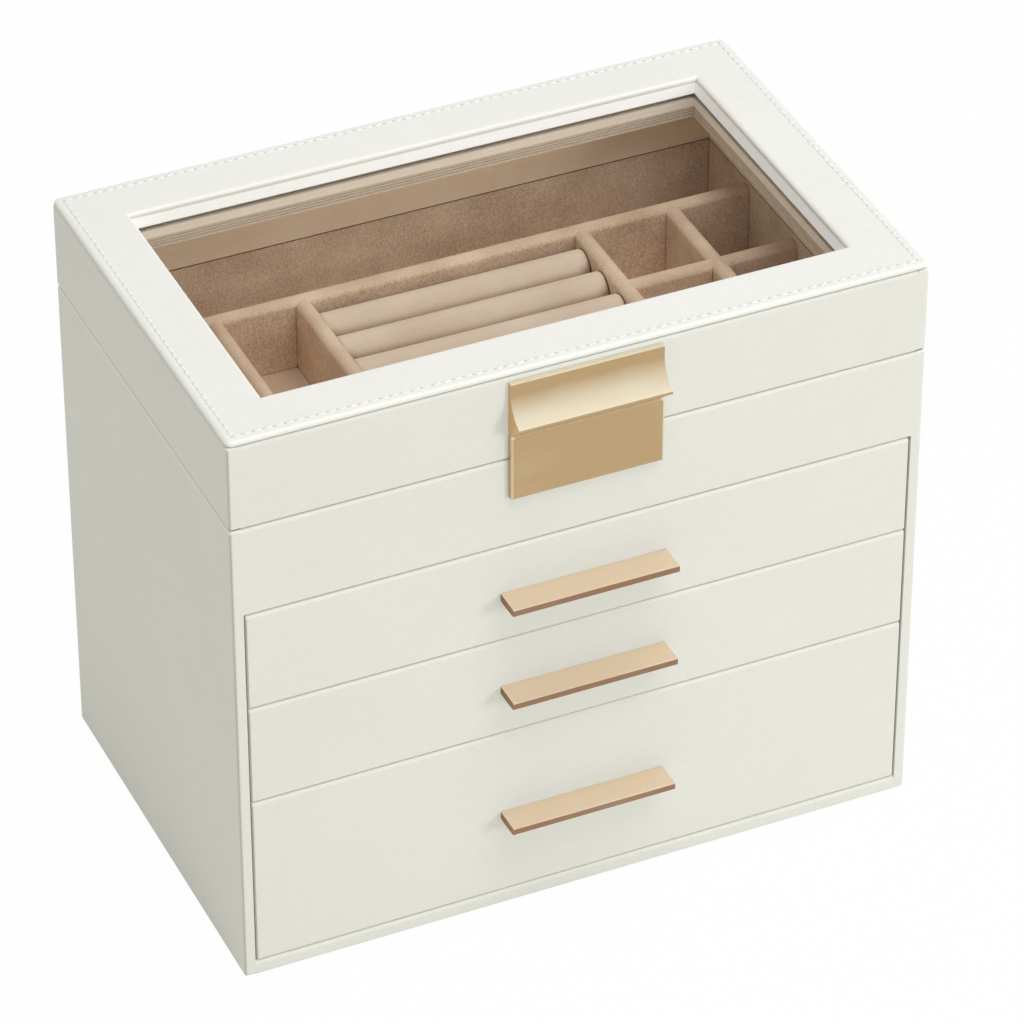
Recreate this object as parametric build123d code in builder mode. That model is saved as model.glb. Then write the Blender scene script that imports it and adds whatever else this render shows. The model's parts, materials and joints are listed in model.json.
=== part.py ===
from build123d import *
import os

# Jewellery box with a glazed lid and three drawers, in millimetres.
# +X is to the right, +Y to the back and +Z up. The origin is on the table, under the middle of the case.

# Footprint and the leather-wrapped boards
box_width = 270.0
box_depth = 168.0
wall = 4.2
edge_round = 1.2
front_top_round = 1.8
front_low_round = 0.8
front_end_round = 0.6

# Heights, stacked from the table up
felt_thickness = 0.8
felt_inset = 5.0
base_thickness = 6.1
drawer_3_height = 73.4
drawer_2_height = 42.1
drawer_1_height = 41.1
front_gap = 0.4
band_height = 37.3
rim_gap = 0.3
lid_height = 37.3

# Shelves inside the case
shelf_thickness = 2.4
shelf_setback = 0.6
tray_shelf_thickness = 4.0
tray_shelf_rise = 0.8

# Velvet tray under the lid
tray_floor_thickness = 2.0
lining = 5.6
lining_reveal = 0.1
lining_corner_gap = 0.2
divider_thickness = 6.0
divider_round_share = 0.48
long_divider_place = 42.0
long_divider_drop = 1.4
divider_step = 0.5
inner_column_place = 56.0
left_column_place = 90.5
right_column_place = 93.5
cross_row_count = 3

# Ring rolls
roll_count = 7
roll_gap = 0.4
roll_end_gap = 0.3
roll_drop = 4.4
roll_end_bevel = 2.2

# Drawer boxes
drawer_front_thickness = 5.5
drawer_side_thickness = 3.2
drawer_floor_thickness = 2.2
drawer_pad_thickness = 1.2
drawer_side_gap = 0.8
drawer_run_gap = 0.3
drawer_rear_gap = 1.2
drawer_headroom = 6.0
drawer_top_round = 1.0
drawer_divider_thickness = 3.4
drawer_divider_drop = 4.0
drawer_column_count = 3

# Ledge handles
handle_length = 65.4
handle_reach = 11.2
handle_rise = 0.4
handle_root = 3.2
handle_lip = 2.9
handle_belly = 0.3
handle_lip_round = 0.5
handle_screw_spacing = 42.0
handle_screw_depth = 6.0

# Lid window
panel_thickness = 2.2
panel_round = 1.7
panel_corner = 2.4
panel_seam_bevel = 0.4
frame_border = 21.8
frame_thickness = 3.7
frame_slope = 1.5
frame_land = 0.3
glass_thickness = 2.5
glass_lap = 7.0
glass_clearance = 0.4
retainer_ledge = 3.3
bead_width = 4.0
bead_height = 4.7
bead_groove = 0.5
bead_groove_count = 3

# Lid pull
pull_width = 59.2
pull_drop = 2.3
grip_edge = 1.9
grip_bevel = 0.5
grip_flat = 4.5
grip_lip_drop = 15.2
grip_lip_reach = 9.1
grip_lip_thickness = 1.1
grip_root = 2.6
grip_height = 21.5
plate_gap = 0.4
plate_standoff = 0.3
plate_thickness = 2.5
plate_overhang = 16.1
plate_corner = 1.6
plate_bevel = 0.7
pull_screw_spacing = 40.0
grip_screw_depth = 3.0
plate_screw_depth = 1.7
plate_screw_rise = 6.0

# Screws of the handles and the pull
screw_radius = 0.9
screw_clearance = 0.05
screw_head_radius = 2.0
screw_head_height = 1.3

# Hinges
hinge_spacing = 150.0
hinge_length = 30.0
leaf_height = 12.0
leaf_thickness = 1.0
barrel_radius = 2.0
barrel_standoff = 0.4
knuckle_gap = 0.4
pin_radius = 0.9
pin_clearance = 0.05
pin_overhang = 0.5
leaf_screw_spacing = 18.0
leaf_screw_place = 7.5
leaf_screw_radius = 0.8
leaf_screw_head = 1.6
leaf_screw_length = 3.6
countersink_angle = 90

# Levels and limits that follow from the sizes above
half_width = box_width / 2
half_depth = box_depth / 2
inner_x = half_width - wall
inner_y = half_depth - wall
base_top = felt_thickness + base_thickness
drawer_3_bottom = base_top + front_gap
drawer_2_bottom = drawer_3_bottom + drawer_3_height + front_gap
drawer_1_bottom = drawer_2_bottom + drawer_2_height + front_gap
band_bottom = drawer_1_bottom + drawer_1_height + front_gap
case_top = band_bottom + band_height
lid_bottom = case_top + rim_gap
lid_top = lid_bottom + lid_height

shelf_front = drawer_front_thickness + shelf_setback - half_depth
lower_shelf_bottom = drawer_2_bottom - (front_gap + shelf_thickness) / 2
upper_shelf_bottom = drawer_1_bottom - (front_gap + shelf_thickness) / 2
tray_shelf_bottom = band_bottom + tray_shelf_rise
tray_shelf_top = tray_shelf_bottom + tray_shelf_thickness

tray_floor_top = tray_shelf_top + tray_floor_thickness
tray_x = inner_x - lining
tray_y = inner_y - lining
long_divider_front = long_divider_place - divider_thickness / 2
front_rows_depth = long_divider_front + tray_y

drawer_x = inner_x - drawer_side_gap
drawer_box_front = drawer_front_thickness - half_depth
drawer_box_back = inner_y - drawer_rear_gap

panel_bottom = lid_top - panel_thickness
frame_bottom = panel_bottom - frame_thickness
glass_bottom = frame_bottom - glass_thickness
retainer_bottom = glass_bottom - retainer_ledge
bead_bottom = retainer_bottom - bead_height
window_width = box_width - 2 * frame_border
window_depth = box_depth - 2 * frame_border
sight_width = window_width - 2 * frame_slope
sight_depth = window_depth - 2 * frame_slope

grip_top = panel_bottom - pull_drop
grip_bottom = grip_top - grip_height
lip_level = grip_top - grip_lip_drop
plate_top = grip_bottom - plate_gap
plate_bottom = case_top - plate_overhang
plate_screw_level = lid_bottom + plate_screw_rise
screw_recess = screw_head_height + screw_clearance

hinge_y = half_depth + barrel_radius + barrel_standoff
hinge_z = (case_top + lid_bottom) / 2
knuckle_length = (hinge_length - 2 * knuckle_gap) / 3

on_top = (Align.CENTER, Align.CENTER, Align.MIN)
hanging = (Align.CENTER, Align.CENTER, Align.MAX)

os.makedirs("parts", exist_ok=True)


def save(piece, name):
    """Labels a finished piece and writes it as one STEP file."""
    piece.part.label = name
    export_step(piece.part, f"parts/{name}.step")


def facing_back(x, y, z):
    """A plane at a point, looking towards the back of the box."""
    return Plane(origin=(x, y, z), x_dir=(1, 0, 0), z_dir=(0, 1, 0))


def board(x_span, y_span, z_span):
    """A plain board between two limits along each axis."""
    with BuildPart() as plain:
        with BuildSketch(Plane.XY.offset(z_span[0])):
            with Locations((sum(x_span) / 2, sum(y_span) / 2)):
                Rectangle(x_span[1] - x_span[0], y_span[1] - y_span[0])
        extrude(amount=z_span[1] - z_span[0])
    return plain.part


def side_board(side, z_span):
    """A wrapped side board, -1 for left or 1 for right, sharp only round its inner face."""
    with BuildPart() as wrapped:
        add(board(sorted((side * half_width, side * inner_x)), (-half_depth, half_depth), z_span))
        inner_face = wrapped.faces().sort_by(Axis.X)[min(side, 0)]
        fillet(wrapped.edges() - inner_face.edges(), edge_round)
    return wrapped.part


def cross_board(y_span, z_span, outer):
    """A wrapped board between the sides, with its outer long edges rounded: 0 faces front, -1 back."""
    with BuildPart() as wrapped:
        add(board((-inner_x, inner_x), y_span, z_span))
        long_edges = wrapped.faces().sort_by(Axis.Y)[outer].edges().filter_by(Axis.X)
        fillet(long_edges.sort_by(Axis.Z)[-1], front_top_round)
        long_edges = wrapped.faces().sort_by(Axis.Y)[outer].edges().filter_by(Axis.X)
        fillet(long_edges.sort_by(Axis.Z)[0], front_low_round)
    return wrapped.part


def divider(x_span, y_span, z_span, along):
    """A velvet-wrapped card that stands along one axis, with a rounded top."""
    with BuildPart() as card:
        add(board(x_span, y_span, z_span))
        thickness = min(x_span[1] - x_span[0], y_span[1] - y_span[0])
        top_face = card.faces().sort_by(Axis.Z)[-1]
        fillet(top_face.edges().filter_by(along), thickness * divider_round_share)
    return card.part


def linings(low, high):
    """Four velvet-wrapped cards that line the walls of the case or the lid."""
    with BuildPart() as cards:
        for end in (-1, 1):
            y_span = sorted((end * tray_y, end * inner_y))
            x_span = sorted((end * tray_x, end * inner_x))
            add(board((-inner_x, inner_x), y_span, (low, high)))
            add(board(x_span, (lining_corner_gap - tray_y, tray_y - lining_corner_gap), (low, high)))
    return cards.part


def window_ring(width, depth, opening_width, opening_depth, low, high):
    """A flat rectangular ring around the lid's window."""
    with BuildPart() as ring:
        with BuildSketch(Plane.XY.offset(low)):
            Rectangle(width, depth)
            Rectangle(opening_width, opening_depth, mode=Mode.SUBTRACT)
        extrude(amount=high - low)
    return ring.part


def pan_screws(spots, spacing, length):
    """A pair of screws at each spot: heads stand on the spot's plane, shanks go the other way."""
    with BuildPart() as screws:
        with Locations(spots):
            with GridLocations(spacing, 0, 2, 1):
                Cylinder(screw_head_radius, screw_head_height, align=on_top)
                Cylinder(screw_radius, length, align=hanging)
    return screws.part


def leaf_spots(up, y):
    """Planes at the screw rows of both hinges, where up is 1 on the lid and -1 on the case."""
    level = hinge_z + up * leaf_screw_place
    return [facing_back(side * hinge_spacing / 2, y, level) for side in (-1, 1)]


# Case: sides, back, base and the fixed band above the drawers
for side, side_name in ((-1, "left"), (1, "right")):
    with BuildPart() as case_side:
        add(side_board(side, (felt_thickness, case_top)))
    save(case_side, f"case_{side_name}_side")

with BuildPart() as case_back:
    add(cross_board((inner_y, half_depth), (felt_thickness, case_top), -1))
    with Locations(leaf_spots(-1, half_depth)):
        with GridLocations(leaf_screw_spacing, 0, 2, 1):
            Hole(leaf_screw_radius + screw_clearance, leaf_screw_length - leaf_thickness + screw_clearance)
save(case_back, "case_back")

with BuildPart() as case_base:
    add(cross_board((-half_depth, inner_y), (felt_thickness, base_top), 0))
save(case_base, "case_base")

with BuildPart() as case_front_band:
    add(cross_board((-half_depth, -inner_y), (band_bottom, case_top), 0))
save(case_front_band, "case_front_band")

with BuildPart() as base_felt:
    with BuildSketch():
        RectangleRounded(box_width - 2 * felt_inset, box_depth - 2 * felt_inset, felt_inset)
    extrude(amount=felt_thickness)
save(base_felt, "base_felt")

# Shelves: two thin ones between the drawers, a thicker one that carries the tray
for shelf_name, low in (("lower_shelf", lower_shelf_bottom), ("upper_shelf", upper_shelf_bottom)):
    with BuildPart() as shelf:
        add(board((-inner_x, inner_x), (shelf_front, inner_y), (low, low + shelf_thickness)))
    save(shelf, shelf_name)

with BuildPart() as tray_shelf:
    add(board((-inner_x, inner_x), (-inner_y, inner_y), (tray_shelf_bottom, tray_shelf_top)))
save(tray_shelf, "tray_shelf")

# Tray: floor and wall linings, then dividers that are coped to one another
with BuildPart() as tray_floor:
    add(board((-inner_x, inner_x), (-inner_y, inner_y), (tray_shelf_top, tray_floor_top)))
save(tray_floor, "tray_floor")

with BuildPart() as tray_linings:
    add(linings(tray_floor_top, case_top - lining_reveal))
save(tray_linings, "tray_linings")

long_divider_top = case_top - long_divider_drop
with BuildPart() as tray_long_divider:
    long_y = (long_divider_front, long_divider_front + divider_thickness)
    add(divider((-tray_x, tray_x), long_y, (tray_floor_top, long_divider_top), Axis.X))
save(tray_long_divider, "tray_long_divider")

column_places = (-left_column_place, -inner_column_place, inner_column_place, right_column_place)
column_top = long_divider_top - divider_step
with BuildPart() as tray_column_dividers:
    for place in column_places:
        column_x = (place - divider_thickness / 2, place + divider_thickness / 2)
        add(divider(column_x, (-tray_y, long_divider_place), (tray_floor_top, column_top), Axis.Y))
    add(tray_long_divider.part, mode=Mode.SUBTRACT)
save(tray_column_dividers, "tray_column_dividers")

row_depth = (front_rows_depth - (cross_row_count - 1) * divider_thickness) / cross_row_count
cross_top = column_top - divider_step
with BuildPart() as tray_cross_dividers:
    for row in range(1, cross_row_count):
        cross_front = row * row_depth + (row - 1) * divider_thickness - tray_y
        cross_y = (cross_front, cross_front + divider_thickness)
        add(divider((inner_column_place, tray_x), cross_y, (tray_floor_top, cross_top), Axis.X))
    add(tray_column_dividers.part, mode=Mode.SUBTRACT)
save(tray_cross_dividers, "tray_cross_dividers")

# Ring rolls: foam rolls side by side between the two inner columns
roll_pitch = front_rows_depth / roll_count
roll_radius = (roll_pitch - roll_gap) / 2
roll_top = case_top - roll_drop
roll_end = inner_column_place - divider_thickness / 2 - roll_end_gap
with BuildPart() as ring_rolls:
    for roll in range(roll_count):
        middle = roll_pitch * (roll + 1 / 2) - tray_y
        shoulder = roll_top - roll_radius
        with BuildSketch(Plane.YZ.offset(-roll_end)):
            with BuildLine():
                Polyline(
                    (middle - roll_radius, shoulder),
                    (middle - roll_radius, tray_floor_top),
                    (middle + roll_radius, tray_floor_top),
                    (middle + roll_radius, shoulder),
                )
                CenterArc((middle, shoulder), roll_radius, 0, 90)
                CenterArc((middle, shoulder), roll_radius, 90, 90)
            make_face()
        extrude(amount=2 * roll_end)
    end_edges = ring_rolls.faces().filter_by(Axis.X).edges()
    chamfer(end_edges - ring_rolls.faces().filter_by(Axis.Z).edges(), roll_end_bevel)
save(ring_rolls, "ring_rolls")

# Lid: top panel with its window, frame board, walls and linings
with BuildPart() as lid_top_panel:
    with BuildSketch(Plane.XY.offset(panel_bottom)):
        RectangleRounded(box_width, box_depth, panel_corner)
        Rectangle(window_width, window_depth, mode=Mode.SUBTRACT)
    extrude(amount=panel_thickness)
    upper_face = lid_top_panel.faces().sort_by(Axis.Z)[-1]
    lower_face = lid_top_panel.faces().sort_by(Axis.Z)[0]
    fillet(upper_face.edges(), panel_round)
    chamfer(lower_face.outer_wire().edges(), panel_seam_bevel)
save(lid_top_panel, "lid_top_panel")

with BuildPart() as lid_frame_board:
    add(window_ring(2 * inner_x, 2 * inner_y, sight_width, sight_depth, frame_bottom, panel_bottom))
    upper_face = lid_frame_board.faces().sort_by(Axis.Z)[-1]
    chamfer(upper_face.inner_wires()[0].edges(), frame_slope, frame_thickness - frame_land, reference=upper_face)
save(lid_frame_board, "lid_frame_board")

for side, side_name in ((-1, "left"), (1, "right")):
    with BuildPart() as lid_side:
        add(side_board(side, (lid_bottom, panel_bottom)))
    save(lid_side, f"lid_{side_name}_wall")

with BuildPart() as lid_front_wall:
    add(cross_board((-half_depth, -inner_y), (lid_bottom, panel_bottom), 0))
    for level in (lip_level, plate_screw_level):
        with Locations(facing_back(0, -inner_y, level)):
            with GridLocations(pull_screw_spacing, 0, 2, 1):
                CounterBoreHole(
                    screw_radius + screw_clearance, screw_head_radius + screw_clearance, screw_recess
                )
save(lid_front_wall, "lid_front_wall")

with BuildPart() as lid_back_wall:
    add(cross_board((inner_y, half_depth), (lid_bottom, panel_bottom), -1))
    with Locations(leaf_spots(1, half_depth)):
        with GridLocations(leaf_screw_spacing, 0, 2, 1):
            Hole(leaf_screw_radius + screw_clearance, leaf_screw_length - leaf_thickness + screw_clearance)
save(lid_back_wall, "lid_back_wall")

with BuildPart() as lid_linings:
    add(linings(lid_bottom + lining_reveal, retainer_bottom))
save(lid_linings, "lid_linings")

# Window: glass, the velvet retainer that holds it up and the ribbed bead below
glass_width = sight_width + 2 * glass_lap
glass_depth = sight_depth + 2 * glass_lap
with BuildPart() as lid_glass:
    with BuildSketch(Plane.XY.offset(glass_bottom)):
        Rectangle(glass_width, glass_depth)
    extrude(amount=glass_thickness)
save(lid_glass, "lid_glass")

with BuildPart() as lid_glass_retainer:
    add(window_ring(2 * inner_x, 2 * inner_y, sight_width, sight_depth, retainer_bottom, frame_bottom))
    with BuildSketch(Plane.XY.offset(frame_bottom)):
        Rectangle(glass_width + 2 * glass_clearance, glass_depth + 2 * glass_clearance)
    extrude(amount=-glass_thickness, mode=Mode.SUBTRACT)
save(lid_glass_retainer, "lid_glass_retainer")

with BuildPart() as lid_glazing_bead:
    outer_width = sight_width + 2 * bead_width
    outer_depth = sight_depth + 2 * bead_width
    add(window_ring(outer_width, outer_depth, sight_width, sight_depth, bead_bottom, retainer_bottom))
    rib_pitch = bead_height / (bead_groove_count + 1)
    for groove in range(1, bead_groove_count + 1):
        groove_low = bead_bottom + groove * rib_pitch - bead_groove / 2
        with BuildSketch(Plane.XY.offset(groove_low)):
            Rectangle(sight_width + 2 * bead_groove, sight_depth + 2 * bead_groove)
        extrude(amount=bead_groove, mode=Mode.SUBTRACT)
save(lid_glazing_bead, "lid_glazing_bead")

# Lid pull: a grip whose scoop curls out to a lip, and a plate that hangs over the joint with the case
with BuildPart() as lid_pull_grip:
    with BuildSketch(Plane.YZ):
        with BuildLine():
            scoop_start = (-half_depth - grip_edge, grip_top - grip_flat)
            lip_top = (-half_depth - grip_lip_reach, lip_level)
            lip_bottom = (-half_depth - grip_lip_reach, lip_level - grip_lip_thickness)
            Polyline(
                (-half_depth, grip_top),
                (-half_depth - grip_edge + grip_bevel, grip_top),
                (-half_depth - grip_edge, grip_top - grip_bevel),
                scoop_start,
            )
            TangentArc(scoop_start, lip_top, tangent=(0, -1))
            Polyline(
                lip_top,
                lip_bottom,
                (-half_depth - grip_root, grip_bottom),
                (-half_depth, grip_bottom),
                (-half_depth, grip_top),
            )
        make_face()
    extrude(amount=pull_width / 2, both=True)
    with Locations(facing_back(0, -half_depth, lip_level)):
        with GridLocations(pull_screw_spacing, 0, 2, 1):
            Hole(screw_radius + screw_clearance, grip_screw_depth + screw_clearance)
save(lid_pull_grip, "lid_pull_grip")

plate_back = -half_depth - plate_standoff
with BuildPart() as lid_pull_plate:
    with BuildSketch(Plane.XZ.offset(-plate_back)) as plate_outline:
        with Locations((0, (plate_top + plate_bottom) / 2)):
            Rectangle(pull_width, plate_top - plate_bottom)
        fillet(plate_outline.vertices().group_by(Axis.Y)[-1], plate_corner)
    extrude(amount=plate_thickness)
    chamfer(lid_pull_plate.faces().sort_by(Axis.Y)[0].edges(), plate_bevel)
    with Locations(facing_back(0, plate_back, plate_screw_level)):
        with GridLocations(pull_screw_spacing, 0, 2, 1):
            Hole(screw_radius + screw_clearance, plate_screw_depth + screw_clearance)
save(lid_pull_plate, "lid_pull_plate")

with BuildPart() as lid_pull_screws:
    shank = wall - screw_recess
    grip_spot = facing_back(0, -inner_y - screw_recess, lip_level)
    plate_spot = facing_back(0, -inner_y - screw_recess, plate_screw_level)
    add(pan_screws([grip_spot], pull_screw_spacing, shank + grip_screw_depth))
    add(pan_screws([plate_spot], pull_screw_spacing, shank + plate_standoff + plate_screw_depth))
save(lid_pull_screws, "lid_pull_screws")


# Hinges: two leaves each on the back of the box, turning on a pin
def hinge_leaf(middle, up, knuckles):
    """A leaf with knuckles at X limits from its middle, where up is 1 on the lid and -1 on the case."""
    near = hinge_z + up * (barrel_radius + knuckle_gap)
    far = hinge_z + up * leaf_height
    tab_height = leaf_height / 2 - rim_gap
    tab_middle = hinge_z + up * (rim_gap + tab_height / 2)
    with BuildPart() as leaf:
        with BuildSketch(Plane.XZ.offset(-half_depth)):
            with Locations((middle, (near + far) / 2)):
                Rectangle(hinge_length, abs(far - near))
            for start, end in knuckles:
                with Locations((middle + (start + end) / 2, tab_middle)):
                    Rectangle(end - start, tab_height)
        extrude(amount=-leaf_thickness)
        for start, end in knuckles:
            with BuildSketch(Plane.YZ.offset(middle + start)):
                with Locations((hinge_y, hinge_z)):
                    Circle(barrel_radius)
            extrude(amount=end - start)
        with BuildSketch(Plane.YZ.offset(middle - hinge_length / 2)):
            with Locations((hinge_y, hinge_z)):
                Circle(pin_radius + pin_clearance)
        extrude(amount=hinge_length, mode=Mode.SUBTRACT)
        with Locations(facing_back(middle, half_depth + leaf_thickness, hinge_z + up * leaf_screw_place)):
            with GridLocations(leaf_screw_spacing, 0, 2, 1):
                CounterSinkHole(
                    leaf_screw_radius + screw_clearance,
                    leaf_screw_head + screw_clearance,
                    counter_sink_angle=countersink_angle,
                )
    return leaf.part


outer_knuckles = (
    (-hinge_length / 2, knuckle_length - hinge_length / 2),
    (hinge_length / 2 - knuckle_length, hinge_length / 2),
)
middle_knuckle = ((-knuckle_length / 2, knuckle_length / 2),)
for side, side_name in ((-1, "left"), (1, "right")):
    with BuildPart() as case_leaf:
        add(hinge_leaf(side * hinge_spacing / 2, -1, outer_knuckles))
    save(case_leaf, f"hinge_{side_name}_case_leaf")
    with BuildPart() as lid_leaf:
        add(hinge_leaf(side * hinge_spacing / 2, 1, middle_knuckle))
    save(lid_leaf, f"hinge_{side_name}_lid_leaf")

with BuildPart() as hinge_pins:
    for side in (-1, 1):
        with BuildSketch(Plane.YZ.offset(side * hinge_spacing / 2)):
            with Locations((hinge_y, hinge_z)):
                Circle(pin_radius)
        extrude(amount=hinge_length / 2 + pin_overhang, both=True)
save(hinge_pins, "hinge_pins")

for body_name, up in (("case", -1), ("lid", 1)):
    with BuildPart() as leaf_screws:
        with Locations(leaf_spots(up, half_depth + leaf_thickness)):
            with GridLocations(leaf_screw_spacing, 0, 2, 1):
                Cone(leaf_screw_radius, leaf_screw_head, leaf_screw_head - leaf_screw_radius, align=hanging)
                Cylinder(leaf_screw_radius, leaf_screw_length, align=hanging)
    save(leaf_screws, f"hinge_{body_name}_screws")


# Drawers: a wrapped front, a velvet box behind it and a ledge handle
def make_drawer(name, front_bottom, front_height, bay_bottom, bay_top):
    """Builds and writes one drawer, and returns the limits of its inside for dividers."""
    handle_top = front_bottom + front_height / 2 + handle_rise
    screw_level = handle_top - handle_root / 2
    front_y = (-half_depth, drawer_box_front)
    front_z = (front_bottom, front_bottom + front_height)
    box_y = (drawer_box_front, drawer_box_back)
    floor_bottom = bay_bottom + drawer_run_gap
    floor_top = floor_bottom + drawer_floor_thickness
    pad_top = floor_top + drawer_pad_thickness
    side_top = bay_top - drawer_headroom
    inside_x = (drawer_side_thickness - drawer_x, drawer_x - drawer_side_thickness)
    inside_y = (drawer_box_front, drawer_box_back - drawer_side_thickness)

    with BuildPart() as front:
        add(board((-drawer_x, drawer_x), front_y, front_z))
        long_edges = front.faces().sort_by(Axis.Y)[0].edges().filter_by(Axis.X)
        fillet(long_edges.sort_by(Axis.Z)[-1], front_top_round)
        long_edges = front.faces().sort_by(Axis.Y)[0].edges().filter_by(Axis.X)
        fillet(long_edges.sort_by(Axis.Z)[0], front_low_round)
        fillet(front.faces().sort_by(Axis.Y)[0].edges().filter_by(Axis.Z), front_end_round)
        with Locations(facing_back(0, drawer_box_front, screw_level)):
            with GridLocations(handle_screw_spacing, 0, 2, 1):
                Hole(screw_radius + screw_clearance)
    save(front, f"{name}_front")

    with BuildPart() as sides:
        for side in (-1, 1):
            x_span = sorted((side * drawer_x, side * inside_x[1]))
            add(board(x_span, box_y, (floor_bottom, side_top)))
        top_edges = sides.faces().filter_by(Axis.Z).sort_by(Axis.Z)[-2:].edges()
        fillet(top_edges.filter_by(Axis.Y), drawer_top_round)
    save(sides, f"{name}_sides")

    with BuildPart() as back:
        add(board(inside_x, (inside_y[1], drawer_box_back), (floor_bottom, side_top)))
        fillet(back.faces().sort_by(Axis.Z)[-1].edges().filter_by(Axis.X), drawer_top_round)
    save(back, f"{name}_back")

    with BuildPart() as floor:
        add(board(inside_x, inside_y, (floor_bottom, floor_top)))
    save(floor, f"{name}_floor")

    with BuildPart() as pad:
        add(board(inside_x, inside_y, (floor_top, pad_top)))
    save(pad, f"{name}_pad")

    with BuildPart() as handle:
        with BuildSketch(Plane.YZ):
            with BuildLine():
                lip_y = -half_depth - handle_reach
                lip_corner = (lip_y, handle_top - handle_lip)
                root_corner = (-half_depth, handle_top - handle_root)
                belly_level = handle_top - (handle_root + handle_lip) / 2 - handle_belly
                Polyline(root_corner, (-half_depth, handle_top), (lip_y, handle_top), lip_corner)
                ThreePointArc(lip_corner, (-half_depth - handle_reach / 2, belly_level), root_corner)
            make_face()
        extrude(amount=handle_length / 2, both=True)
        fillet(handle.faces().sort_by(Axis.Y)[0].edges().filter_by(Axis.X), handle_lip_round)
        with Locations(facing_back(0, -half_depth, screw_level)):
            with GridLocations(handle_screw_spacing, 0, 2, 1):
                Hole(screw_radius + screw_clearance, handle_screw_depth + screw_clearance)
    save(handle, f"{name}_handle")

    with BuildPart() as screws:
        spot = facing_back(0, drawer_box_front, screw_level)
        add(pan_screws([spot], handle_screw_spacing, drawer_front_thickness + handle_screw_depth))
    save(screws, f"{name}_handle_screws")

    return inside_x, inside_y, (pad_top, side_top - drawer_divider_drop)


def column_dividers(inside_x, inside_y, z_span):
    """Dividers from front to back that part a drawer into even columns."""
    column_pitch = (inside_x[1] - inside_x[0]) / drawer_column_count
    with BuildPart() as columns:
        for column in range(1, drawer_column_count):
            left = inside_x[0] + column * column_pitch - drawer_divider_thickness / 2
            add(divider((left, left + drawer_divider_thickness), inside_y, z_span, Axis.Y))
    return columns.part


lower_shelf_top = lower_shelf_bottom + shelf_thickness
upper_shelf_top = upper_shelf_bottom + shelf_thickness
inside_1 = make_drawer("drawer_1", drawer_1_bottom, drawer_1_height, upper_shelf_top, tray_shelf_bottom)
inside_2 = make_drawer("drawer_2", drawer_2_bottom, drawer_2_height, lower_shelf_top, upper_shelf_bottom)
make_drawer("drawer_3", drawer_3_bottom, drawer_3_height, base_top, lower_shelf_bottom)

# Drawer 1 has a divider across its middle and columns coped to it, drawer 2 has columns only
with BuildPart() as drawer_1_long_divider:
    middle_y = sum(inside_1[1]) / 2
    middle_span = (middle_y - drawer_divider_thickness / 2, middle_y + drawer_divider_thickness / 2)
    add(divider(inside_1[0], middle_span, inside_1[2], Axis.X))
save(drawer_1_long_divider, "drawer_1_long_divider")

with BuildPart() as drawer_1_cross_dividers:
    add(column_dividers(inside_1[0], inside_1[1], (inside_1[2][0], inside_1[2][1] - divider_step)))
    add(drawer_1_long_divider.part, mode=Mode.SUBTRACT)
save(drawer_1_cross_dividers, "drawer_1_cross_dividers")

with BuildPart() as drawer_2_dividers:
    add(column_dividers(*inside_2))
save(drawer_2_dividers, "drawer_2_dividers")
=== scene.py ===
import json
import math

import bmesh
import bpy
from mathutils import Matrix, Vector


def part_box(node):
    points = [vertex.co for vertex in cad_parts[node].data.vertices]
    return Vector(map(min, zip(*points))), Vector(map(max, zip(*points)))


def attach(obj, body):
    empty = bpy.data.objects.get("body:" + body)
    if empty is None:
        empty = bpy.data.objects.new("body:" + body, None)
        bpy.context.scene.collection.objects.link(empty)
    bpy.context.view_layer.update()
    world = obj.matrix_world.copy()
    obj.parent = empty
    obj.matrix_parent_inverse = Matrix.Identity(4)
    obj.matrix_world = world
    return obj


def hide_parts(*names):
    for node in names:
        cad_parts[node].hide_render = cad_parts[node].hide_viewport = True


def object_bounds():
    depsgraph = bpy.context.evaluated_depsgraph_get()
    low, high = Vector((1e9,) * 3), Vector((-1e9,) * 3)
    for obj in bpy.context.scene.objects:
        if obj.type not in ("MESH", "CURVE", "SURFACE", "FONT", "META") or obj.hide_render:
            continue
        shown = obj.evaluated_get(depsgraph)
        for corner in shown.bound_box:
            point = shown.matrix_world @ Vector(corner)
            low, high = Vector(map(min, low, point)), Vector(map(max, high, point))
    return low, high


# Looks of a jewellery box with a glazed lid and three drawers, in metres, in the frame of the CAD model.
# +X is to the right, +Y to the back and +Z up.
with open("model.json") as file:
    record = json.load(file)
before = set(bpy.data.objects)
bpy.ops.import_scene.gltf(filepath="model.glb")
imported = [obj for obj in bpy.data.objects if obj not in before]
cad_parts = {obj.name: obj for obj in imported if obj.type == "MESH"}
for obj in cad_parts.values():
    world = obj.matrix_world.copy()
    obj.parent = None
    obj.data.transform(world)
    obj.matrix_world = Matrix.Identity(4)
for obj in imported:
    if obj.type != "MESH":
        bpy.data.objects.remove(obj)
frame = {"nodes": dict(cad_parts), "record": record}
cad_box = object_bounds()
mm = 0.001

# Stitching on the lid
stitch_inset = 3.4 * mm
stitch_pitch = 3.9 * mm
stitch_length = 3.1 * mm
stitch_width = 1.15 * mm
stitch_height = 0.3 * mm
stitch_turn = math.radians(8)
hole_shade_radius = 0.5 * mm
hole_shade_height = 0.04 * mm

# Ring rolls, where the ends' insets, their slope and the foot's lift are shares
roll_count = 7
roll_side_gap = 0.35 * mm
roll_start_inset = 0.5 * mm
roll_step = 2.4 * mm
roll_end_round = 1.2 * mm
roll_swell = 0.9 * mm
roll_side_swell = 0.3 * mm
roll_reach = 0.2 * mm
roll_arc_steps = 12
roll_end_steps = 5
roll_end_insets = (0.9, 0.55)
roll_end_slope = 0.8
roll_foot_lift = 0.5
roll_middle_margin = 1e-6 * mm
roll_frames = 16
roll_pressure = 4
roll_cloth_mass = 0.05
roll_stiffness = 12
roll_bending = 0.3

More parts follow.
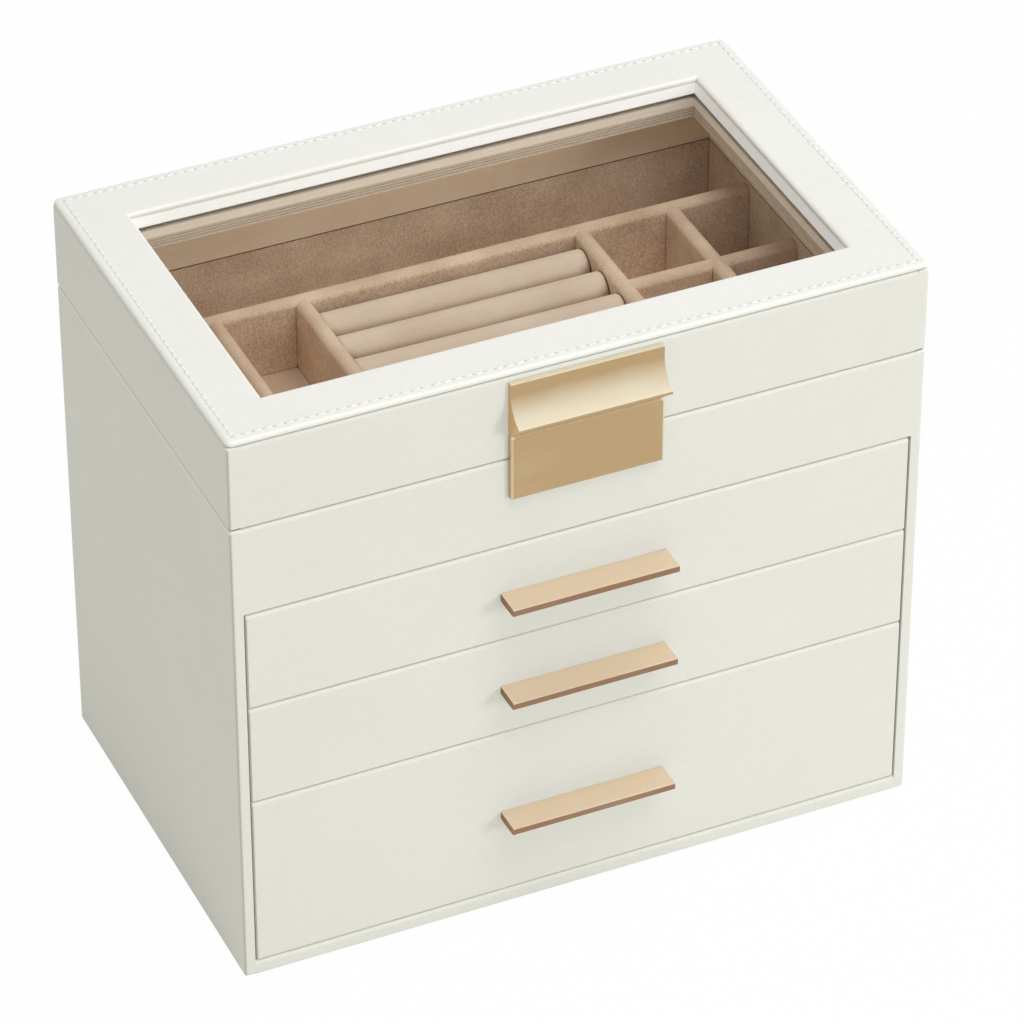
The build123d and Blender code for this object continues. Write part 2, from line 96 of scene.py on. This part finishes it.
# Pads on the drawer floors
pad_crown = 0.35 * mm
pad_edge = 0.9 * mm
pad_step = 6.0 * mm
pad_crown_reach = 6 * pad_edge
pad_edge_drop = 0.6 * pad_edge
drawer_numbers = (1, 2, 3)

# Patterns in the materials: features per metre, and depths of the grain
leather_cloud_scale = 22
leather_mottle_scale = 260
leather_pebble_scale = 1500
leather_grain_scale = 2600
leather_grain_depth = 0.06 * mm
velvet_patch_scale = 45
velvet_streak_scale = 1600
velvet_pile_scale = 3500
velvet_pile_depth = 0.2 * mm
metal_wear_scale = 60
metal_brush_scale = 4000
metal_brush_depth = 0.02 * mm
glass_cloud_scale = 9
fibre_depth = 0.1 * mm

# Reaches of the painted shade in the velvet's corners and the leather's seams, and the height of the
# painted highlight below the leather's rim
crease_shade_reach = 1.5 * mm
roll_crease_shade_reach = 6.0 * mm
seam_shade_reach = 0.8 * mm
rim_highlight_height = 1.2 * mm
rim_highlight_full_height = 0.7 * rim_highlight_height

# Camera and light
camera_azimuth = math.radians(-24.307)
camera_elevation = math.radians(36.277)
camera_distance = 2.1365
camera_target = Vector((0.00966, 0.0, 0.11162))
camera_lens = 201.64
sensor_width = 36.0
lamp_distance = 2.2
key_direction = Vector((0.18, -0.22, 0.95))
key_size = 2.2
key_power = 27.4
key_colour = (1.0, 0.996, 1.07)
side_direction = Vector((0.5, -0.8, 0.3))
side_size = 0.8
side_power = 9.8
side_colour = (1.0, 1.0, 0.98)
ambient_strength = 0.5
ambient_colour = (1.0, 0.998, 0.965, 1.0)
white_colour = (1.0, 1.0, 1.0, 1.0)
floor_size = 8.0
floor_drop = 0.05 * mm
floor_whiteness = 0.98
floor_colour = (0.80, 0.805, 0.745, 1.0)


# Node helpers
def srgb(red, green, blue):
    """A display colour from 0 to 255 as the linear colour that shaders take."""
    shares = [value / 255 for value in (red, green, blue)]
    return tuple(s / 12.92 if s <= 0.04045 else ((s + 0.055) / 1.055) ** 2.4 for s in shares) + (1.0,)


def add_node(tree, kind, inputs, **settings):
    """Adds a node with its settings, and sets or links its inputs."""
    made = tree.nodes.new(kind)
    for name, value in settings.items():
        setattr(made, name, value)
    for name, value in inputs.items():
        if isinstance(value, bpy.types.NodeSocket):
            tree.links.new(value, made.inputs[name])
        else:
            made.inputs[name].default_value = value
    return made


def maths(tree, operation, *values):
    """The result of a Math node on up to three values or sockets."""
    return add_node(tree, "ShaderNodeMath", dict(enumerate(values)), operation=operation).outputs[0]


def noise(tree, place, scale, detail=2.0, roughness=0.5):
    """A noise pattern whose features are about one over scale metres across."""
    inputs = {"Vector": place, "Scale": scale, "Detail": detail, "Roughness": roughness}
    return add_node(tree, "ShaderNodeTexNoise", inputs).outputs[0]


def stretched(tree, place, scale):
    """Coordinates scaled along each axis, for streaks."""
    return add_node(tree, "ShaderNodeMapping", {"Vector": place, "Scale": scale}).outputs[0]


def ramp(tree, factor, low, high, low_colour, high_colour):
    """A colour that goes from one to another as factor goes from low to high."""
    made = add_node(tree, "ShaderNodeValToRGB", {"Fac": factor})
    ends = made.color_ramp.elements
    ends[0].position = low
    ends[0].color = low_colour
    ends[1].position = high
    ends[1].color = high_colour
    return made.outputs[0]


def spread(tree, factor, low, high, low_value, high_value):
    """A number that goes from one value to another as factor goes from low to high."""
    inputs = {0: factor, 1: low, 2: high, 3: low_value, 4: high_value}
    return add_node(tree, "ShaderNodeMapRange", inputs).outputs[0]


def start(name):
    """A new material with its node tree, its shader and coordinates in the frame."""
    material = bpy.data.materials.new(name)
    material.use_nodes = True
    tree = material.node_tree
    place = add_node(tree, "ShaderNodeTexCoord", {}).outputs["Object"]
    return material, tree, tree.nodes["Principled BSDF"], place


def set_shader(tree, shader, **inputs):
    """Sets or links the shader's inputs, with spaces in their names written as underscores."""
    for name, value in inputs.items():
        socket = shader.inputs[name.replace("_", " ")]
        if isinstance(value, bpy.types.NodeSocket):
            tree.links.new(value, socket)
        else:
            socket.default_value = value


def blended(tree, share, first, second):
    """A mix of two colours, where share is that of the second."""
    inputs = {"Factor": share, 6: first, 7: second}
    return add_node(tree, "ShaderNodeMix", inputs, data_type="RGBA").outputs[2]


def bump(tree, height, distance, strength):
    """A normal bent by a height pattern, where distance is in metres."""
    inputs = {"Height": height, "Distance": distance, "Strength": strength}
    return add_node(tree, "ShaderNodeBump", inputs).outputs[0]


def edge_share(tree, facing):
    """How far a face is turned away from all three axes: zero on flats, one halfway round an edge."""
    size = add_node(tree, "ShaderNodeVectorMath", {0: facing}, operation="ABSOLUTE").outputs[0]
    parts = add_node(tree, "ShaderNodeSeparateXYZ", {0: size}).outputs
    widest = maths(tree, "MAXIMUM", maths(tree, "MAXIMUM", parts["X"], parts["Y"]), parts["Z"])
    return spread(tree, widest, 0.995, 0.72, 0.0, 1.0)


def side_edge_share(tree, facing):
    """The same for upright edges only, those of left and right ends."""
    size = add_node(tree, "ShaderNodeVectorMath", {0: facing}, operation="ABSOLUTE").outputs[0]
    parts = add_node(tree, "ShaderNodeSeparateXYZ", {0: size}).outputs
    return spread(tree, maths(tree, "MINIMUM", parts["X"], parts["Y"]), 0.25, 0.65, 0.0, 1.0)


# Leather
leather_low = srgb(233, 233, 225)
leather_high = srgb(241, 240, 233)
# Painted light on the leather: highlight on top edges and rims, shade on left and lower edges and in the
# seams
leather_edge_highlight = srgb(249, 248, 240)
leather_painted_shade = srgb(202, 201, 191)
leather_rim_highlight = srgb(255, 254, 248)
leather_seam_shade = srgb(152, 151, 141)


def leather_material(name, low_colour, high_colour, edge_highlight_colour, rim):
    """Imitation leather: a fine pebble grain, a painted highlight on top edges, painted shade on left and
    lower edges, and painted shade in the seams.

    Faces that look left or right get a painted highlight in a thin band that ends at the height called
    rim.
    """
    material, tree, shader, place = start(name)
    facing = add_node(tree, "ShaderNodeTexCoord", {}).outputs["Normal"]
    parts = add_node(tree, "ShaderNodeSeparateXYZ", {0: facing}).outputs
    height = add_node(tree, "ShaderNodeSeparateXYZ", {0: place}).outputs["Z"]
    edge = edge_share(tree, facing)
    # Painted highlight on edges that turn up
    upper_edge_highlight = maths(tree, "MULTIPLY", edge, spread(tree, parts["Z"], 0.0, 0.2, 0.0, 1.0))
    # Painted shade on edges that turn down, and on upright edges that look left
    lower_edge_shade = maths(tree, "MULTIPLY", edge, spread(tree, parts["Z"], -0.2, 0.0, 1.0, 0.0))
    leftward = spread(tree, parts["X"], -0.2, 0.0, 1.0, 0.0)
    left = maths(tree, "MULTIPLY", side_edge_share(tree, facing), leftward)
    # Painted highlight in a thin band below the rim, on faces that look left or right
    sideways = spread(tree, maths(tree, "ABSOLUTE", parts["X"]), 0.4, 0.8, 0.0, 1.0)
    rim_highlight_share = spread(tree, height, rim - rim_highlight_height, rim - rim_highlight_full_height, 0.0, 1.0)
    slow = noise(tree, place, leather_cloud_scale, 2)
    cells = {"Vector": place, "Scale": leather_pebble_scale}
    pebble = add_node(tree, "ShaderNodeTexVoronoi", cells).outputs["Distance"]
    fine = noise(tree, place, leather_grain_scale, 3, 0.6)
    grain = maths(tree, "MULTIPLY_ADD", pebble, 0.6, fine)
    medium = maths(tree, "MULTIPLY", noise(tree, place, leather_mottle_scale, 2), 0.35)
    clouds = maths(tree, "MULTIPLY_ADD", slow, 0.4, medium)
    tone = maths(tree, "MULTIPLY_ADD", grain, 0.35, clouds)
    sheet = ramp(tree, tone, 0.37, 0.97, low_colour, high_colour)
    shaded = blended(tree, maths(tree, "MAXIMUM", left, lower_edge_shade), sheet, leather_painted_shade)
    edge_highlighted = blended(tree, upper_edge_highlight, shaded, edge_highlight_colour)
    rim_highlighted = blended(tree, maths(tree, "MULTIPLY", rim_highlight_share, sideways), edge_highlighted, leather_rim_highlight)
    # Painted shade in seams and crevices, where little light gets in
    near = add_node(tree, "ShaderNodeAmbientOcclusion", {"Distance": seam_shade_reach}, samples=4).outputs["AO"]
    set_shader(
        tree,
        shader,
        Base_Color=blended(tree, spread(tree, near, 0.3, 0.55, 1.0, 0.0), rim_highlighted, leather_seam_shade),
        Roughness=spread(tree, grain, 0.4, 1.2, 0.46, 0.6),
        Normal=bump(tree, grain, leather_grain_depth, 0.35),
        Specular_IOR_Level=0.35,
    )
    return material


# Velvet, metal, felt and glass
def velvet_material(name, dark, light, crease_shade, reach, closed, clear):
    """Short-napped velvet: a mottled nap on the walls, smooth tops darkened by painted shade, and painted
    shade in the corners.

    A corner has the painted crease shade where its open share is closed or less, and none of it from
    clear on.
    """
    material, tree, shader, place = start(name)
    facing = add_node(tree, "ShaderNodeTexCoord", {}).outputs["Normal"]
    upward = add_node(tree, "ShaderNodeSeparateXYZ", {0: facing}).outputs["Z"]
    streaks = noise(tree, stretched(tree, place, (1.0, 1.0, 0.7)), velvet_streak_scale, 2, 0.6)
    patches = noise(tree, place, velvet_patch_scale, 2)
    pile = noise(tree, place, velvet_pile_scale, 2)
    contrast = spread(tree, maths(tree, "ABSOLUTE", upward), 0.2, 0.9, 1.0, 0.25)
    centred = maths(tree, "SUBTRACT", streaks, 0.5)
    nap = maths(tree, "MULTIPLY_ADD", centred, contrast, maths(tree, "MULTIPLY", patches, 0.6))
    # Painted shade: faces that look up are made darker
    nap_with_painted_top_shade = maths(tree, "SUBTRACT", nap, spread(tree, upward, 0.5, 0.9, 0.0, 0.12))
    colour = ramp(tree, nap_with_painted_top_shade, 0.0, 0.6, dark, light)
    # Painted shade in corners and between the rolls, where little light gets in
    near = add_node(tree, "ShaderNodeAmbientOcclusion", {"Distance": reach}, samples=6).outputs["AO"]
    crease_shade_share = spread(tree, near, closed, clear, 1.0, 0.0)
    set_shader(
        tree,
        shader,
        Base_Color=blended(tree, crease_shade_share, colour, crease_shade),
        Roughness=0.9,
        Normal=bump(tree, maths(tree, "MULTIPLY_ADD", pile, 0.5, streaks), velvet_pile_depth, 0.5),
        Specular_IOR_Level=0.05,
        Sheen_Weight=0.25,
        Sheen_Roughness=0.5,
        Sheen_Tint=light,
    )
    return material


def metal_material(name, deep_colour, pale_colour, top_highlight_colour, end_painted_colour, roughness):
    """Plated metal with a fine brushed line from left to right, and painted reflection by facing: paler
    where it faces up, palest on top, painted highlights on upright edges, most on the right, and a
    painted tone on ends that look left or right.
    """
    material, tree, shader, place = start(name)
    brushed = noise(tree, stretched(tree, place, (0.03, 1.0, 1.0)), metal_brush_scale, 3, 0.6)
    facing = add_node(tree, "ShaderNodeTexCoord", {}).outputs["Normal"]
    parts = add_node(tree, "ShaderNodeSeparateXYZ", {0: facing}).outputs
    upward = parts["Z"]
    # Painted reflection: the tone follows which way each face looks, plus a slow random wear
    slow = noise(tree, stretched(tree, place, (0.4, 1.0, 1.0)), metal_wear_scale, 2)
    wear_and_painted_light = maths(tree, "MULTIPLY_ADD", maths(tree, "SUBTRACT", slow, 0.5), 0.5, upward)
    # Painted highlight on upright edges, strongest on those that look right
    rim = spread(tree, parts["X"], -0.3, 0.3, 0.3, 1.2)
    edge_highlights_and_wear = maths(tree, "MULTIPLY_ADD", side_edge_share(tree, facing), rim, wear_and_painted_light)
    tone = maths(tree, "MULTIPLY_ADD", brushed, 0.2, edge_highlights_and_wear)
    sheet = ramp(tree, tone, 0.1, 0.9, deep_colour, pale_colour)
    # Painted highlight on faces that look up, and painted light and shade on faces that look left or
    # right
    top_highlighted = blended(tree, spread(tree, upward, 0.85, 0.97, 0.0, 1.0), sheet, top_highlight_colour)
    sideways = maths(tree, "ABSOLUTE", parts["X"])
    with_painted_ends = blended(tree, spread(tree, sideways, 0.85, 0.97, 0.0, 1.0), top_highlighted, end_painted_colour)
    # Light that the metal throws onto other pieces is nearly white
    bounce = add_node(tree, "ShaderNodeLightPath", {}).outputs["Is Diffuse Ray"]
    set_shader(
        tree,
        shader,
        Base_Color=blended(tree, maths(tree, "MULTIPLY", bounce, 0.8), with_painted_ends, srgb(238, 236, 230)),
        Metallic=1.0,
        Roughness=spread(tree, brushed, 0.3, 0.7, roughness - 0.05, roughness + 0.06),
        Normal=bump(tree, brushed, metal_brush_depth, 0.25),
    )
    return material


def matte_material(name, scale, low_colour, high_colour):
    """A dull surface with a fibrous mottle, for felt, board and the bead."""
    material, tree, shader, place = start(name)
    mottle = noise(tree, place, scale, 4, 0.65)
    set_shader(
        tree,
        shader,
        Base_Color=ramp(tree, mottle, 0.35, 0.7, low_colour, high_colour),
        Roughness=spread(tree, mottle, 0.3, 0.7, 0.7, 0.85),
        Normal=bump(tree, mottle, fibre_depth, 0.4),
        Specular_IOR_Level=0.2,
    )
    return material


def glass_material():
    """Clear sheet glass that lets light into the tray."""
    material, tree, shader, place = start("glass")
    faint = noise(tree, place, glass_cloud_scale, 1)
    set_shader(
        tree,
        shader,
        Base_Color=ramp(tree, faint, 0.3, 0.7, srgb(252, 253, 252), srgb(254, 255, 254)),
        Roughness=0.0,
        IOR=1.07,
        Transmission_Weight=1.0,
    )
    path = add_node(tree, "ShaderNodeLightPath", {})
    lit = maths(tree, "MAXIMUM", path.outputs["Is Shadow Ray"], path.outputs["Is Diffuse Ray"])
    through = add_node(tree, "ShaderNodeBsdfTransparent", {"Color": srgb(254, 255, 254)})
    layers = {0: lit, 1: shader.outputs[0], 2: through.outputs[0]}
    mixed = add_node(tree, "ShaderNodeMixShader", layers)
    tree.links.new(mixed.outputs[0], tree.nodes["Material Output"].inputs["Surface"])
    return material


# One material for each slot of the record, where a rim above the whole box paints no rim highlight
case_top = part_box("case_left_side")[1].z
no_rim_highlight = cad_box[1].z + rim_highlight_height
materials = {
    "leather": leather_material("leather", leather_low, leather_high, leather_edge_highlight, no_rim_highlight),
    "velvet": velvet_material(
        "velvet",
        dark=srgb(187, 156, 128),
        light=srgb(245, 222, 197),
        crease_shade=srgb(110, 77, 52),
        reach=crease_shade_reach,
        closed=0.35,
        clear=0.6,
    ),
    "roll_velvet": velvet_material(
        "roll_velvet",
        dark=srgb(208, 185, 161),
        light=srgb(227, 209, 190),
        crease_shade=srgb(157, 124, 96),
        reach=roll_crease_shade_reach,
        closed=0.3,
        clear=0.8,
    ),
    "glass": glass_material(),
    "gold": metal_material(
        "gold",
        deep_colour=srgb(196, 168, 126),
        pale_colour=srgb(240, 229, 203),
        top_highlight_colour=srgb(255, 246, 218),
        end_painted_colour=srgb(232, 194, 138),
        roughness=0.42,
    ),
    "bead": matte_material("bead", 900, srgb(208, 192, 173), srgb(224, 208, 189)),
    "steel": metal_material(
        "steel",
        deep_colour=srgb(180, 180, 178),
        pale_colour=srgb(206, 206, 204),
        top_highlight_colour=srgb(206, 206, 204),
        end_painted_colour=srgb(180, 180, 178),
        roughness=0.36,
    ),
    "hinge_metal": metal_material(
        "hinge_metal",
        deep_colour=srgb(200, 172, 126),
        pale_colour=srgb(222, 196, 152),
        top_highlight_colour=srgb(222, 196, 152),
        end_painted_colour=srgb(200, 172, 126),
        roughness=0.36,
    ),
    "felt": matte_material("felt", 1400, srgb(150, 132, 112), srgb(176, 158, 138)),
    "board": matte_material("board", 700, srgb(206, 190, 164), srgb(220, 206, 184)),
}
for subpart in frame["record"]["subparts"]:
    node_mesh = frame["nodes"][subpart["node"]].data
    node_mesh.materials.clear()
    node_mesh.materials.append(materials[subpart["material_slot"]])

# Nodes with their own copies of their slot's material: the handles with their own tint and painted
# reflection, paler copies that paint the light on the glass retainer, the lid linings and the frame
# strip, and case sides with a painted highlight below their rim
handle_gold = metal_material(
    "handle_gold",
    deep_colour=srgb(158, 124, 98),
    pale_colour=srgb(250, 228, 202),
    top_highlight_colour=srgb(253, 231, 205),
    end_painted_colour=srgb(156, 120, 86),
    roughness=0.42,
)
# A paler copy of the velvet that paints the light on the glass retainer
retainer_lit_velvet = velvet_material(
    "retainer_lit_velvet",
    dark=srgb(240, 224, 206),
    light=srgb(254, 242, 228),
    crease_shade=srgb(232, 214, 194),
    reach=crease_shade_reach,
    closed=0.1,
    clear=0.2,
)
# A paler copy of the velvet that paints the light on the lid linings
lid_lit_velvet = velvet_material(
    "lid_lit_velvet",
    dark=srgb(240, 215, 188),
    light=srgb(251, 232, 209),
    crease_shade=srgb(146, 111, 82),
    reach=crease_shade_reach,
    closed=0.35,
    clear=0.6,
)
# A paler copy of the leather that paints the light on the frame strip in the window
strip_lit_leather = leather_material(
    "strip_lit_leather", srgb(252, 252, 246), srgb(255, 255, 251), srgb(255, 255, 251), no_rim_highlight)
# The case sides' leather, with a painted highlight below their top rim
side_rim_highlight_leather = leather_material("side_rim_highlight_leather", leather_low, leather_high, leather_edge_highlight, case_top)
own_tints_and_painted_light = {
    "lid_glass_retainer": retainer_lit_velvet,
    "lid_linings": lid_lit_velvet,
    "lid_frame_board": strip_lit_leather,
    "case_left_side": side_rim_highlight_leather,
    "case_right_side": side_rim_highlight_leather,
}
for number in drawer_numbers:
    own_tints_and_painted_light[f"drawer_{number}_handle"] = handle_gold
for node_name, tint_or_painted_light in own_tints_and_painted_light.items():
    frame["nodes"][node_name].data.materials[0] = tint_or_painted_light


# Mesh helpers
def link_piece(name, mesh, body, material):
    """Puts a finished bmesh into the scene as a smooth piece that rides on a body."""
    data = bpy.data.meshes.new(name)
    bmesh.ops.recalc_face_normals(mesh, faces=mesh.faces)
    mesh.to_mesh(data)
    mesh.free()
    for face in data.polygons:
        face.use_smooth = True
    data.materials.append(material)
    piece = bpy.data.objects.new(name, data)
    bpy.context.scene.collection.objects.link(piece)
    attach(piece, body)
    return piece


def add_rings(mesh, rings):
    """Skins closed rings of points one after another, and closes both ends."""
    loops = [[mesh.verts.new(point) for point in ring] for ring in rings]
    count = len(loops[0])
    for first, second in zip(loops, loops[1:]):
        for i in range(count):
            j = (i + 1) % count
            mesh.faces.new((first[i], first[j], second[j], second[i]))
    mesh.faces.new(loops[0])
    mesh.faces.new(loops[-1])


# Stitching: a run of raised threads along each edge of the lid, with a disc of painted shade for the
# needle hole between threads
panel_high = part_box("lid_top_panel")[1]
run_x = panel_high.x - stitch_inset
run_y = panel_high.y - stitch_inset
run_corners = [(-run_x, -run_y), (run_x, -run_y), (run_x, run_y), (-run_x, run_y)]
slant = Matrix.Rotation(stitch_turn, 4, "Z")
thread_size = Matrix.Diagonal((stitch_length / 2, stitch_width / 2, stitch_height, 1))
hole_shade_size = Matrix.Diagonal((hole_shade_radius, hole_shade_radius, hole_shade_height, 1))
threads = bmesh.new()
hole_shades = bmesh.new()
for corner, (start_x, start_y) in enumerate(run_corners):
    end_x, end_y = run_corners[(corner + 1) % len(run_corners)]
    run = Vector((end_x - start_x, end_y - start_y, 0))
    count = round(run.length / stitch_pitch)
    turn = Matrix.Rotation(math.atan2(run.y, run.x), 4, "Z")
    for i in range(count):
        hole_place = Vector((start_x, start_y, panel_high.z)) + run * (i / count)
        thread_place = hole_place + run * (0.5 / count)
        bmesh.ops.create_uvsphere(
            threads, u_segments=10, v_segments=6, radius=1,
            matrix=Matrix.Translation(thread_place) @ turn @ slant @ thread_size,
        )
        bmesh.ops.create_uvsphere(
            hole_shades, u_segments=8, v_segments=4, radius=1,
            matrix=Matrix.Translation(hole_place) @ hole_shade_size,
        )
thread_material = matte_material("thread", 2500, srgb(238, 237, 230), srgb(248, 247, 241))
# Painted shade in the needle holes, as flat grey discs on the panel
hole_shade_material = matte_material("needle_hole", 2500, srgb(212, 211, 205), srgb(228, 227, 221))
link_piece("lid_stitches", threads, "lid", thread_material)
link_piece("lid_hole_shades", hole_shades, "lid", hole_shade_material)


# Ring rolls: foam rolls that swell inside their velvet
def roll_section(half_width, low, shoulder, inset):
    """Points round a roll seen from its end: a flat foot, straight sides and a round top."""
    reach = half_width - inset
    foot = low + inset * roll_foot_lift
    sides = max(2, round((shoulder - low) / roll_step))
    across = max(2, round(2 * half_width / roll_step))
    points = [(-reach, foot + (shoulder - foot) * i / sides) for i in range(sides)]
    for i in range(roll_arc_steps):
        angle = math.pi * (1 - i / roll_arc_steps)
        points.append((reach * math.cos(angle), shoulder + reach * math.sin(angle)))
    points += [(reach, shoulder - (shoulder - foot) * i / sides) for i in range(sides)]
    points += [(reach - 2 * reach * i / across, foot) for i in range(across)]
    return points


def roll_rings(half_length, middle, half_width, low, high):
    """Rings along one roll, drawn in towards its rounded ends."""
    shoulder = high - half_width
    steps = round((2 * half_length - 2 * roll_end_round) / roll_step)
    stations = [(-half_length, share * half_width) for share in roll_end_insets]
    for i in range(roll_end_steps):
        angle = math.pi / 2 * i / roll_end_steps
        x = -half_length + roll_end_round * (1 - math.cos(angle))
        stations.append((x, roll_end_round * (1 - math.sin(angle)) * roll_end_slope))
    straight = half_length - roll_end_round
    stations += [(-straight + 2 * straight * i / steps, 0.0) for i in range(steps // 2 + 1)]
    stations += [(-x, inset) for x, inset in reversed(stations) if x < -roll_middle_margin]
    rings = []
    for x, inset in stations:
        section = roll_section(half_width, low, shoulder, inset)
        rings.append([(x, middle + y, z) for y, z in section])
    return rings


def swell(piece):
    """Fills the piece with air as cloth, and keeps each point within reach of where it began."""
    before = [vertex.co.copy() for vertex in piece.data.vertices]
    cloth = piece.modifiers.new("cloth", "CLOTH")
    cloth.settings.use_pressure = True
    cloth.settings.uniform_pressure_force = roll_pressure
    cloth.settings.mass = roll_cloth_mass
    cloth.settings.tension_stiffness = roll_stiffness
    cloth.settings.compression_stiffness = roll_stiffness
    cloth.settings.bending_stiffness = roll_bending
    cloth.settings.effector_weights.gravity = 0
    cloth.point_cache.frame_end = roll_frames
    scene = bpy.context.scene
    for step in range(1, roll_frames + 1):
        scene.frame_set(step)
    evaluated = piece.evaluated_get(bpy.context.evaluated_depsgraph_get())
    after = [vertex.co.copy() for vertex in evaluated.data.vertices]
    piece.modifiers.remove(cloth)
    scene.frame_set(1)
    limits = Vector((roll_side_swell, roll_side_swell, roll_swell))
    for vertex, old, new in zip(piece.data.vertices, before, after):
        move = new - old
        vertex.co = old + Vector([max(-limit, min(limit, m)) for m, limit in zip(move, limits)])


rolls_low, rolls_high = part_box("ring_rolls")
roll_pitch = (rolls_high.y - rolls_low.y + roll_side_gap) / roll_count
rolls = bmesh.new()
for roll in range(roll_count):
    middle = rolls_low.y - roll_side_gap / 2 + roll_pitch * (roll + 0.5)
    half_width = (roll_pitch - roll_side_gap) / 2 - roll_start_inset
    half_length = rolls_high.x + roll_reach
    rings = roll_rings(half_length, middle, half_width, rolls_low.z, rolls_high.z - roll_start_inset)
    add_rings(rolls, rings)
ring_rolls = link_piece("soft_ring_rolls", rolls, "case", materials["roll_velvet"])
swell(ring_rolls)
ring_rolls.modifiers.new("smooth", "SUBSURF").render_levels = 1
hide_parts("ring_rolls")


# Pads on the drawer floors: thin crowned mats with soft edges
def add_pad(node_name, piece_name, body):
    """Replaces a drawer's floor pad with a mat that is crowned and rounded along its edges."""
    low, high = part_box(node_name)
    size = high - low
    columns = round(size.x / pad_step)
    rows = round(size.y / pad_step)

    def level(x, y):
        """Height of the mat's top at a place."""
        edge = min(x - low.x, high.x - x, y - low.y, high.y - y)
        crown = pad_crown * math.sin(min(1.0, edge / pad_crown_reach) * math.pi / 2)
        drop = pad_edge_drop * (1 - min(1.0, edge / pad_edge))
        return high.z - drop + crown

    def spots(start_at, end_at, count):
        """Places of the grid lines along one side, close together at both ends."""
        inner = [start_at + (end_at - start_at) * i / count for i in range(1, count)]
        first = [start_at, start_at + pad_edge / 2, start_at + pad_edge]
        last = [end_at - pad_edge, end_at - pad_edge / 2, end_at]
        return first + inner + last

    xs = spots(low.x, high.x, columns)
    ys = spots(low.y, high.y, rows)
    mat = bmesh.new()
    top = [[mat.verts.new((x, y, level(x, y))) for y in ys] for x in xs]
    rim = {}
    for i, x in enumerate(xs):
        for j, y in enumerate(ys):
            if i in (0, len(xs) - 1) or j in (0, len(ys) - 1):
                rim[i, j] = mat.verts.new((x, y, low.z))
    for i in range(len(xs) - 1):
        for j in range(len(ys) - 1):
            mat.faces.new((top[i][j], top[i + 1][j], top[i + 1][j + 1], top[i][j + 1]))
    path = [(i, 0) for i in range(len(xs))]
    path += [(len(xs) - 1, j) for j in range(1, len(ys))]
    path += [(i, len(ys) - 1) for i in range(len(xs) - 2, -1, -1)]
    path += [(0, j) for j in range(len(ys) - 2, 0, -1)]
    for here, there in zip(path, path[1:] + path[:1]):
        mat.faces.new((rim[here], rim[there], top[there[0]][there[1]], top[here[0]][here[1]]))
    mat.faces.new([rim[spot] for spot in path])
    pad = link_piece(piece_name, mat, body, materials["velvet"])
    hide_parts(node_name)


for number in drawer_numbers:
    add_pad(f"drawer_{number}_pad", f"drawer_{number}_soft_pad", f"drawer_{number}")


# Studio: white surroundings, a pale floor that keeps the shadow, and two soft lamps
def seen_directly(tree):
    """One for rays that show the surroundings to the eye, in metal or through glass, else zero."""
    path = add_node(tree, "ShaderNodeLightPath", {})
    shown = maths(tree, "MAXIMUM", path.outputs["Is Camera Ray"], path.outputs["Is Glossy Ray"])
    return maths(tree, "MAXIMUM", shown, path.outputs["Is Transmission Ray"])


world = bpy.data.worlds.new("studio")
bpy.context.scene.world = world
world.use_nodes = True
sky = world.node_tree.nodes["Background"]
sky_share = seen_directly(world.node_tree)
sky_colour = blended(world.node_tree, sky_share, ambient_colour, white_colour)
world.node_tree.links.new(sky_colour, sky.inputs["Color"])
sky_strength = spread(world.node_tree, sky_share, 0.0, 1.0, ambient_strength, 1.0)
world.node_tree.links.new(sky_strength, sky.inputs["Strength"])

floor_mesh = bmesh.new()
bmesh.ops.create_grid(floor_mesh, x_segments=4, y_segments=4, size=floor_size / 2)
floor_data = bpy.data.meshes.new("floor")
floor_mesh.to_mesh(floor_data)
floor_mesh.free()
floor = bpy.data.objects.new("floor", floor_data)
floor.location.z = -floor_drop
bpy.context.scene.collection.objects.link(floor)
floor_material, floor_tree, floor_shader, _ = start("floor")
set_shader(
    floor_tree,
    floor_shader,
    Base_Color=floor_colour,
    Roughness=0.9,
    Specular_IOR_Level=0.0,
)
white = add_node(floor_tree, "ShaderNodeEmission", {"Color": white_colour, "Strength": 1.0})
floor_share = maths(floor_tree, "MULTIPLY", seen_directly(floor_tree), floor_whiteness)
floor_layers = {0: floor_share, 1: floor_shader.outputs[0], 2: white.outputs[0]}
floor_mix = add_node(floor_tree, "ShaderNodeMixShader", floor_layers)
floor_tree.links.new(floor_mix.outputs[0], floor_tree.nodes["Material Output"].inputs["Surface"])
floor_data.materials.append(floor_material)


def add_lamp(name, direction, size, power, colour):
    """A round soft lamp that shines on the object from a direction, and leaves no spot in the metal."""
    data = bpy.data.lights.new(name, "AREA")
    data.shape = "DISK"
    data.size = size
    data.energy = power
    data.color = colour
    lamp = bpy.data.objects.new(name, data)
    lamp.location = camera_target + direction.normalized() * lamp_distance
    lamp.rotation_euler = direction.to_track_quat("Z", "Y").to_euler()
    lamp.visible_glossy = False
    bpy.context.scene.collection.objects.link(lamp)


add_lamp("key", key_direction, key_size, key_power, key_colour)
add_lamp("side", side_direction, side_size, side_power, side_colour)

# Camera at the photograph's viewing angle
camera_data = bpy.data.cameras.new("camera")
camera_data.sensor_width = sensor_width
camera_data.lens = camera_lens
camera = bpy.data.objects.new("camera", camera_data)
camera_back = Vector((
    math.sin(camera_azimuth) * math.cos(camera_elevation),
    -math.cos(camera_azimuth) * math.cos(camera_elevation),
    math.sin(camera_elevation),
))
camera.location = camera_target + camera_back * camera_distance
camera.rotation_euler = (math.pi / 2 - camera_elevation, 0, camera_azimuth)
bpy.context.scene.collection.objects.link(camera)
bpy.context.scene.camera = camera
bpy.context.scene.view_settings.view_transform = "Standard"
